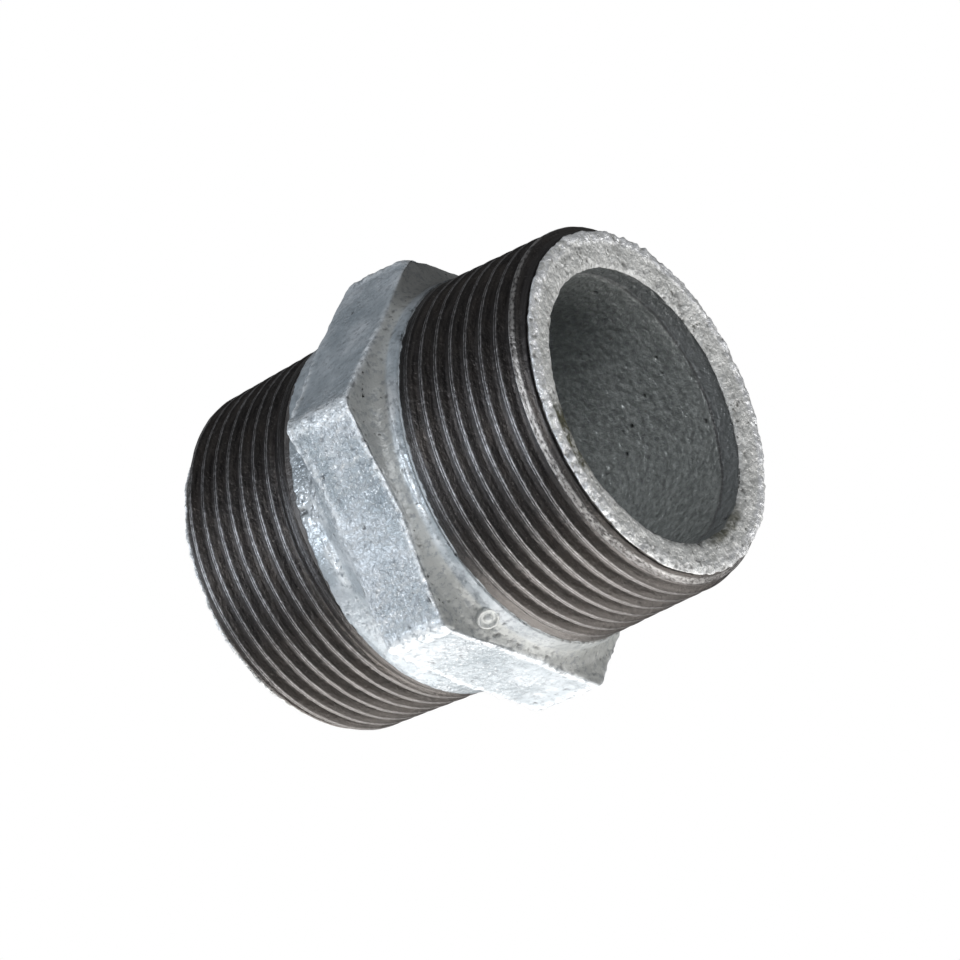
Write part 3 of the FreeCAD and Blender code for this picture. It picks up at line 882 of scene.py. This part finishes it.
def zinc_casting():
    """Hot-dip zinc over cast iron: blue-grey, mottled, speckled with painted glints."""
    r = Recipe("zinc_casting")
    broad = r.noise(7, 4, 0.6)
    fine = r.noise(0.8, 4, 0.65, offset=2)
    speck = r.noise(0.3, 2, 0.6, offset=5)
    flat = r.ramp(
        broad,
        (0.32, (0.25, 0.29, 0.32)),
        (0.5, (0.38, 0.42, 0.45)),
        (0.66, (0.56, 0.59, 0.62)),
    )
    dull = r.ramp(
        broad,
        (0.3, (0.38, 0.39, 0.385)),
        (0.5, (0.46, 0.475, 0.465)),
        (0.7, (0.54, 0.55, 0.535)),
    )
    soot = r.ramp(r.noise(0.7, 2, 0.6, offset=31), (0.66, 0.0), (0.71, 0.8))
    dull = r.mix(soot, dull, (0.07, 0.07, 0.065))
    colour = r.mix(r.value("flat"), dull, flat)
    colour = r.mix(r.ramp(fine, (0.38, 0.6), (0.49, 0.0)), colour, (0.22, 0.24, 0.26))
    # Painted glints: near-white specks on the flats, more where the skin has fine folds.
    glints = r.times(r.value("crinkle_and_glints"), r.ramp(speck, (0.58, 0.0), (0.66, 1.0)))
    colour = r.mix(r.times(r.value("flat"), glints), colour, (0.90, 0.93, 0.96))
    # Beads painted bright, partly a painted highlight.
    beads_and_highlights = r.times(r.value("edge"), r.ramp(fine, (0.35, 0.0), (0.55, 1.0)))
    colour = r.mix(beads_and_highlights, colour, (0.82, 0.85, 0.87))
    # Pits, soiling and painted shade on the shoulder darken the zinc towards black.
    colour = r.mix(r.value("darkening"), colour, (0.03, 0.03, 0.03))
    iron, _ = iron_shade(r, r.stretched(SIDEWAYS))
    colour = r.mix(r.value("cut"), colour, iron)
    rough = r.ramp(fine, (0.3, 0.52), (0.7, 0.30))
    rough = r.mix(r.value("sleek"), rough, (0.28, 0.28, 0.28))
    rough = r.mix(r.value("cut"), rough, (0.5, 0.5, 0.5))
    grainy = r.times(r.noise(0.95, 2, 0.6, offset=9), r.value("crinkle_and_glints"))
    normal = r.bump(grainy, 1.1, under=r.bump(r.noise(0.4, 3, 0.6, offset=15), 0.06))
    return r.finish(colour, 0.2, rough, normal)


def cut_iron():
    """Bare cut iron in old cutting oil: near black, with scuffed crests and painted highlight lines
    beside them.
    """
    r = Recipe("cut_iron")
    along = r.stretched((0.045, 0.045, 1.0))
    base, streak = iron_shade(r, along)
    hatch = r.noise(0.22, 3, 0.65, place=r.stretched((0.35, 0.35, 1.0)), offset=4)
    base = r.mix(r.ramp(r.value("depth"), (0.1, 0.6), (0.3, 0.0)), base, (0.035, 0.034, 0.035))
    # Painted highlight: the bottoms of the roots are lightened.
    base = r.mix(r.ramp(r.value("depth"), (0.75, 0.0), (1.0, 0.6)), base, (0.11, 0.107, 0.11))
    # This worn colour serves both the scuffed crests and the painted highlight lines.
    worn = r.ramp(hatch, (0.35, (0.34, 0.33, 0.34)), (0.62, (0.76, 0.75, 0.77)))
    scuffs = r.times(r.value("crest"), r.ramp(hatch, (0.52, 0.0), (0.66, 0.25)))
    # Painted highlight lines along the burrs.
    burr_highlight_share = r.times(r.value("burr_highlight"), r.ramp(hatch, (0.3, 0.25), (0.6, 0.9)))
    shine = r.maths("MAXIMUM", scuffs, burr_highlight_share)
    base = r.mix(r.times(r.value("dried"), 0.5), base, (0.15, 0.138, 0.128))
    colour = r.mix(shine, base, worn)
    # Painted highlight: the first crest beside each end face is painted bright and broken.
    patchy = r.ramp(r.noise(2.2, 4, 0.65, place=along, offset=21), (0.36, 0.25), (0.56, 1.0))
    bright = r.times(patchy, r.ramp(hatch, (0.40, 0.15), (0.54, 1.0)))
    bright = r.times(r.value("end_crest_highlight"), bright)
    colour = r.mix(bright, colour, (0.60, 0.59, 0.58))
    colour = r.mix(r.value("zinc"), colour, (0.42, 0.45, 0.47))
    rough = r.mix(r.value("zinc"), r.ramp(hatch, (0.3, 0.36), (0.7, 0.46)), (0.5, 0.5, 0.5))
    metal = r.mix(r.value("zinc"), (0.9, 0.9, 0.9), (0.2, 0.2, 0.2))
    torn = r.noise(0.5, 3, 0.65, place=r.stretched((0.5, 0.5, 1.0)), offset=12)
    normal = r.bump(streak, 0.08, under=r.bump(hatch, 0.08, under=r.bump(torn, 0.16)))
    return r.finish(colour, metal, rough, normal)


def zinc_rim():
    """Thick rough zinc on an end face: pale, pitted, stained in places."""
    r = Recipe("zinc_rim")
    broad = r.noise(3.2, 4, 0.6)
    fine = r.noise(0.5, 4, 0.7, offset=3)
    colour = r.ramp(broad, (0.35, (0.50, 0.51, 0.50)), (0.65, (0.80, 0.81, 0.80)))
    # Painted glints: near-white specks over the rim.
    colour = r.mix(r.ramp(fine, (0.52, 0.0), (0.64, 0.6)), colour, (0.92, 0.94, 0.94))
    colour = r.mix(r.ramp(fine, (0.38, 0.5), (0.46, 0.0)), colour, (0.30, 0.30, 0.29))
    dark_patches = r.noise(1.1, 4, 0.6, offset=8)
    colour = r.mix(r.ramp(dark_patches, (0.60, 0.0), (0.66, 0.85)), colour, (0.10, 0.10, 0.09))
    colour = r.mix(r.value("darkening"), colour, (0.03, 0.028, 0.025))
    bead = r.noise(0.8, 3, 0.6, offset=23)
    # Beads on the rim's outer edge painted near white: partly the zinc's own colour, partly a
    # painted highlight.
    beads_and_highlights = r.times(r.value("edge"), r.ramp(bead, (0.40, 0.0), (0.54, 0.9)))
    colour = r.mix(beads_and_highlights, colour, (0.93, 0.95, 0.98))
    blotch = r.ramp(r.noise(1.2, 4, 0.65, offset=5), (0.38, 0.35), (0.50, 1.0))
    colour = r.mix(r.times(r.value("oily"), blotch), colour, (0.075, 0.075, 0.045))
    iron, _ = iron_shade(r, r.stretched(SIDEWAYS))
    colour = r.mix(r.value("cut"), colour, iron)
    rough = r.mix(beads_and_highlights, r.ramp(fine, (0.3, 0.55), (0.7, 0.32)), (0.24, 0.24, 0.24))
    normal = r.bump(r.noise(1.3, 4, 0.6, offset=9), 0.45, under=r.bump(bead, 0.35))
    return r.finish(colour, 0.35, rough, normal)


def zinc_bore():
    """The dull sandy zinc inside the bore, with black pinholes."""
    r = Recipe("zinc_bore")
    broad = r.noise(9, 3, 0.6)
    fine = r.noise(0.7, 4, 0.65, offset=3)
    sandy = r.ramp(broad, (0.3, (0.30, 0.32, 0.315)), (0.7, (0.38, 0.40, 0.395)))
    colour = r.mix(r.ramp(fine, (0.5, 0.0), (0.62, 0.5)), sandy, (0.60, 0.63, 0.62))
    colour = r.mix(r.ramp(fine, (0.38, 0.5), (0.48, 0.0)), colour, (0.16, 0.17, 0.17))
    colour = r.mix(r.value("mouth"), colour, (0.27, 0.285, 0.29))
    # Painted shade on one side of the bore wall.
    colour = r.mix(r.times(r.value("painted_wall_shade"), 0.5), colour, (0.13, 0.14, 0.14))
    # Painted shade along the recess's step.
    colour = r.mix(r.times(r.value("painted_step_shade"), 0.9), colour, (0.05, 0.05, 0.05))
    rust = r.noise(1.6, 3, 0.6, offset=18)
    colour = r.mix(r.ramp(rust, (0.70, 0.0), (0.76, 0.6)), colour, (0.17, 0.11, 0.08))
    colour = r.mix(r.value("darkening"), colour, (0.01, 0.01, 0.01))
    rough = r.ramp(fine, (0.3, 0.45), (0.7, 0.26))
    normal = r.bump(r.noise(0.9, 3, 0.55, offset=6), 0.65)
    return r.finish(colour, 0.3, rough, normal)


# ---------------------------------------------------------------- build

casting = zinc_casting()
iron = cut_iron()
rim_zinc = zinc_rim()
bore_zinc = zinc_bore()
make_collar(casting)
make_mark(casting)
make_thread("cut_upper_thread", "upper_thread", True, 101, iron)
make_thread("cut_lower_thread", "lower_thread", False, 201, iron)
make_rim("cast_upper_rim", "upper_end_rim", True, 301, rim_zinc)
make_rim("cast_lower_rim", "lower_end_rim", False, 401, rim_zinc)
make_waterway(bore_zinc)


# ---------------------------------------------------------------- studio


# Lengths in metres, but for the floor's height in millimetres, just below the lower rim's beads.
FLOOR_HEIGHT = -0.4
FLOOR_HALF = 2
LIGHT_DISTANCE = 0.9
# Square soft lights: name, azimuth, elevation, side, watts and tint.
LIGHTS = [
    ("key", -6, -14, 1.3, 20.5, (1.0, 0.985, 0.965)),
    ("left", -108, -34.5, 0.3, 4.0, (0.88, 0.96, 1.05)),
    ("top", -112, 42, 0.45, 3.3, (0.97, 0.99, 1.02)),
    ("right", 46, 46, 0.6, 3.2, (1.0, 0.98, 0.96)),
]
WHITE = (1, 1, 1, 1)
SURROUND_LIGHT = 0.12


def shown_to_camera(tree, seen, unseen, surface):
    """Shows one shader to the camera itself, and another to the rest of the light."""
    path = tree.nodes.new("ShaderNodeLightPath")
    blend = tree.nodes.new("ShaderNodeMixShader")
    tree.links.new(path.outputs["Is Camera Ray"], blend.inputs["Fac"])
    tree.links.new(unseen, blend.inputs[1])
    tree.links.new(seen, blend.inputs[2])
    tree.links.new(blend.outputs["Shader"], surface)


def add_floor():
    """A floor that is white to the camera and takes no light or shadow."""
    mesh = bpy.data.meshes.new("floor")
    foot = FLOOR_HEIGHT * MM
    signs = [(-1, -1), (1, -1), (1, 1), (-1, 1)]
    corners = [(FLOOR_HALF * x, FLOOR_HALF * y, foot) for x, y in signs]
    mesh.from_pydata(corners, [], [(0, 1, 2, 3)])
    floor = bpy.data.objects.new("floor", mesh)
    bpy.context.scene.collection.objects.link(floor)
    material = bpy.data.materials.new("pale_floor")
    material.use_nodes = True
    tree = material.node_tree
    tree.nodes.remove(tree.nodes["Principled BSDF"])
    pale = tree.nodes.new("ShaderNodeEmission").outputs["Emission"]
    clear = tree.nodes.new("ShaderNodeBsdfTransparent").outputs["BSDF"]
    shown_to_camera(tree, pale, clear, tree.nodes["Material Output"].inputs["Surface"])
    mesh.materials.append(material)


def add_light(name, azimuth, elevation, size, watts, tint):
    """A square soft light on a sphere round the part, facing it."""
    a, e = math.radians(azimuth), math.radians(elevation)
    back = Vector((math.cos(a) * math.cos(e), math.sin(a) * math.cos(e), math.sin(e)))
    data = bpy.data.lights.new(name, "AREA")
    data.shape = "SQUARE"
    data.size = size
    data.energy = watts
    data.color = tint
    light = bpy.data.objects.new(name, data)
    light.location = Vector((0, 0, MIDDLE * MM)) + back * LIGHT_DISTANCE
    light.rotation_mode = "QUATERNION"
    light.rotation_quaternion = back.to_track_quat("Z", "Y")
    bpy.context.scene.collection.objects.link(light)


def add_camera():
    """The photo's camera, from its place and from the picture's right, down and ahead."""
    data = bpy.data.cameras.new("camera")
    data.sensor_width = 36
    data.lens = 130.62
    data.clip_start = 0.01
    data.clip_end = 50
    camera = bpy.data.objects.new("camera", data)
    place = Vector((0.012986, -0.358207, 0.277115))
    right = Vector((0.41249236, 0.52716084, 0.74293438))
    down = Vector((0.91045602, -0.21141832, -0.35548858))
    ahead = Vector((-0.03032972, 0.82304541, -0.5671652))
    turn = Matrix((right, -down, -ahead)).transposed()
    camera.matrix_world = Matrix.Translation(place) @ turn.to_4x4()
    bpy.context.scene.collection.objects.link(camera)
    bpy.context.scene.camera = camera


def add_world():
    """A surround that is white to the camera but lights the part dimly."""
    world = bpy.data.worlds.new("studio")
    world.use_nodes = True
    tree = world.node_tree
    dim = tree.nodes["Background"]
    dim.inputs["Color"].default_value = WHITE
    dim.inputs["Strength"].default_value = SURROUND_LIGHT
    bright = tree.nodes.new("ShaderNodeBackground")
    bright.inputs["Color"].default_value = WHITE
    seen, unseen = bright.outputs["Background"], dim.outputs["Background"]
    shown_to_camera(tree, seen, unseen, tree.nodes["World Output"].inputs["Surface"])
    bpy.context.scene.world = world


add_floor()
for light in LIGHTS:
    add_light(*light)
add_world()
add_camera()
bpy.context.scene.view_settings.view_transform = "Standard"
